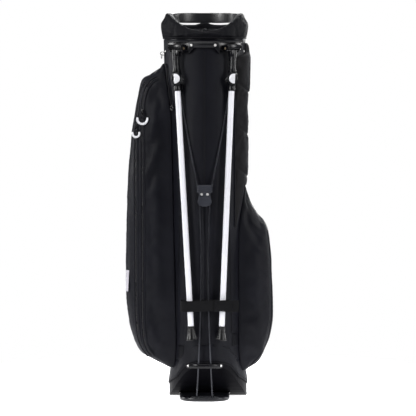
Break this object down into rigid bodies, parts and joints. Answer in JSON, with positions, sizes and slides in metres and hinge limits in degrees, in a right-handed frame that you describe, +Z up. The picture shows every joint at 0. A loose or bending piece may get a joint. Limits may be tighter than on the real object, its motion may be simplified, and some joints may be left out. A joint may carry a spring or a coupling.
{
  "type": "golf stand bag",
  "caption": "Free-standing oval golf bag with padded cuff, folding legs on a hinge bracket, spring rods to a rocking foot plate, zipped side pockets and a carrying strap.",
  "frame": {"origin": "on the axis of the oval tube at the floor, on the base's flat underside", "axes": "+Z up along the tube; the legs hang on the -Y side; +X is the right flank seen from the leg side"},
  "size_m": [0.3414, 0.2731, 0.883],
  "materials": {
    "boot_plastic": "satin",
    "moulded_black": "satin",
    "slate_plastic": "satin",
    "white_plastic": "gloss",
    "tube_paint": "gloss",
    "steel": "polished",
    "brassed": "satin",
    "rod_steel": "satin",
    "rubber": "matte",
    "body_fabric": "matte",
    "mesh_fabric": "matte",
    "pad_fabric": "matte",
    "webbing": "matte",
    "handle_leather": "gloss",
    "foam": "matte",
    "label_white": "satin"
  },
  "bodies": {
    "bag": {"base_boot": "boot_plastic", "base_floor_pad": "foam", "foot_hinge_pin": "steel", "rod_keeper": "moulded_black", "keeper_rivets": "brassed", "tube_shell": "body_fabric", "top_collar": "moulded_black", "cuff_padding": "mesh_fabric", "divider_top": "mesh_fabric", "divider_panel_x": "body_fabric", "divider_panel_y": "body_fabric", "stay_rods": "rod_steel", "lift_handle": "handle_leather", "hinge_bracket": "moulded_black", "bracket_rivets": "steel", "leg_pins": "steel", "garment_pocket": "body_fabric", "garment_zip_inner": "webbing", "garment_zip_outer": "webbing", "side_pocket": "body_fabric", "side_zip": "webbing", "ball_pocket": "body_fabric", "ball_zip": "webbing", "hip_pad": "pad_fabric", "leg_strap": "webbing", "leg_strap_tail": "webbing", "pocket_label": "label_white", "strap_pad": "pad_fabric", "strap_webbing": "webbing", "strap_buckle": "moulded_black", "strap_anchor": "moulded_black", "d_ring_loop": "webbing", "umbrella_cord": "webbing", "umbrella_snap": "moulded_black", "grip_tabs": "body_fabric"},
    "leg_left": {"leg_yoke_left": "moulded_black", "leg_tube_left": "tube_paint", "leg_cap_left": "white_plastic", "leg_foot_left": "rubber"},
    "leg_right": {"leg_yoke_right": "moulded_black", "leg_tube_right": "tube_paint", "leg_cap_right": "white_plastic", "leg_foot_right": "rubber"},
    "plate": {"foot_plate": "moulded_black", "foot_rod_pin": "steel"},
    "rods": {"rod_lower_left": "rod_steel", "rod_lower_right": "rod_steel", "rod_clip": "slate_plastic", "clip_rivets": "steel"},
    "upper_rod_left": {"rod_upper_left": "rod_steel"},
    "upper_rod_right": {"rod_upper_right": "rod_steel"},
    "d_ring": {"d_ring": "steel"},
    "slider_inner": {"zip_slider_inner": "steel"},
    "pull_inner": {"zip_pull_inner": "white_plastic"},
    "slider_outer": {"zip_slider_outer": "steel"},
    "pull_outer": {"zip_pull_outer": "white_plastic"},
    "slider_side": {"zip_slider_side": "steel"},
    "pull_side": {"zip_pull_side": "white_plastic"},
    "slider_ball": {"zip_slider_ball": "steel"},
    "pull_ball": {"zip_pull_ball": "white_plastic"}
  },
  "joints": [
    {"name": "leg_left_swing", "type": "hinge", "parent": "bag", "child": "leg_left", "pos_m": [-0.0625, -0.094, 0.8], "axis": [-0.8829, 0.4695, 0], "range_deg": [0, 30], "stiffness_Nm_per_rad": 0.8, "deforming": ["leg_strap", "leg_strap_tail"]},
    {"name": "leg_right_swing", "type": "hinge", "parent": "bag", "child": "leg_right", "pos_m": [0.0625, -0.094, 0.8], "axis": [-0.8829, -0.4695, 0], "range_deg": [0, 30.5]},
    {"name": "foot_plate_rock", "type": "hinge", "parent": "bag", "child": "plate", "pos_m": [0, -0.015, 0.0065], "axis": [-1, 0, 0], "range_deg": [0, 5.8]},
    {"name": "rod_foot_hinge", "type": "hinge", "parent": "plate", "child": "rods", "pos_m": [0, -0.112, 0.005], "axis": [1, 0, 0], "range_deg": [0, 7.4]},
    {"name": "upper_rod_left_hinge", "type": "hinge", "parent": "rods", "child": "upper_rod_left", "pos_m": [-0.0148, -0.106, 0.478], "axis": [0.6751, -0.709, 0.2036], "range_deg": [0, 7.8]},
    {"name": "upper_rod_right_hinge", "type": "hinge", "parent": "rods", "child": "upper_rod_right", "pos_m": [0.0148, -0.106, 0.478], "axis": [0.6751, 0.709, -0.2036], "range_deg": [0, 7.8]},
    {"name": "zip_inner_slide", "type": "slide", "parent": "bag", "child": "slider_inner", "axis": [0, -0.008, -1], "range_m": [0, 0.24]},
    {"name": "zip_inner_pull", "type": "hinge", "parent": "slider_inner", "child": "pull_inner", "pos_m": [-0.1415, -0.05656, 0.6566], "axis": [-1, 0, 0], "range_deg": [0, 70]},
    {"name": "zip_outer_slide", "type": "slide", "parent": "bag", "child": "slider_outer", "axis": [0, -0.012, -0.9999], "range_m": [0, 0.24]},
    {"name": "zip_outer_pull", "type": "hinge", "parent": "slider_outer", "child": "pull_outer", "pos_m": [-0.1565, -0.05114, 0.6236], "axis": [-1, 0, 0], "range_deg": [0, 70]},
    {"name": "zip_side_slide", "type": "slide", "parent": "bag", "child": "slider_side", "axis": [0, 0.004, -1], "range_m": [0, 0.17]},
    {"name": "zip_side_pull", "type": "hinge", "parent": "slider_side", "child": "pull_side", "pos_m": [0.128, 0.05966, 0.3516], "axis": [1, 0, 0], "range_deg": [0, 70]},
    {"name": "zip_ball_slide", "type": "slide", "parent": "bag", "child": "slider_ball", "axis": [0, 0, -1], "range_m": [0, 0.075]},
    {"name": "zip_ball_pull", "type": "hinge", "parent": "slider_ball", "child": "pull_ball", "pos_m": [-0.038, 0.1491, 0.2416], "axis": [1, 0, 0], "range_deg": [0, 70]},
    {"name": "d_ring_swing", "type": "hinge", "parent": "bag", "child": "d_ring", "pos_m": [-0.0984, -0.02, 0.788], "axis": [0, 1, 0], "range_deg": [0, 100]}
  ],
  "couplings": [
    {"joint": "leg_right_swing", "follows": "leg_left_swing", "ratio": 1},
    {"joint": "foot_plate_rock", "follows": "leg_left_swing", "ratio": 0.18333},
    {"joint": "rod_foot_hinge", "follows": "leg_left_swing", "ratio": 0.23667},
    {"joint": "upper_rod_left_hinge", "follows": "leg_left_swing", "ratio": 0.25247},
    {"joint": "upper_rod_right_hinge", "follows": "leg_left_swing", "ratio": 0.25247}
  ]
}
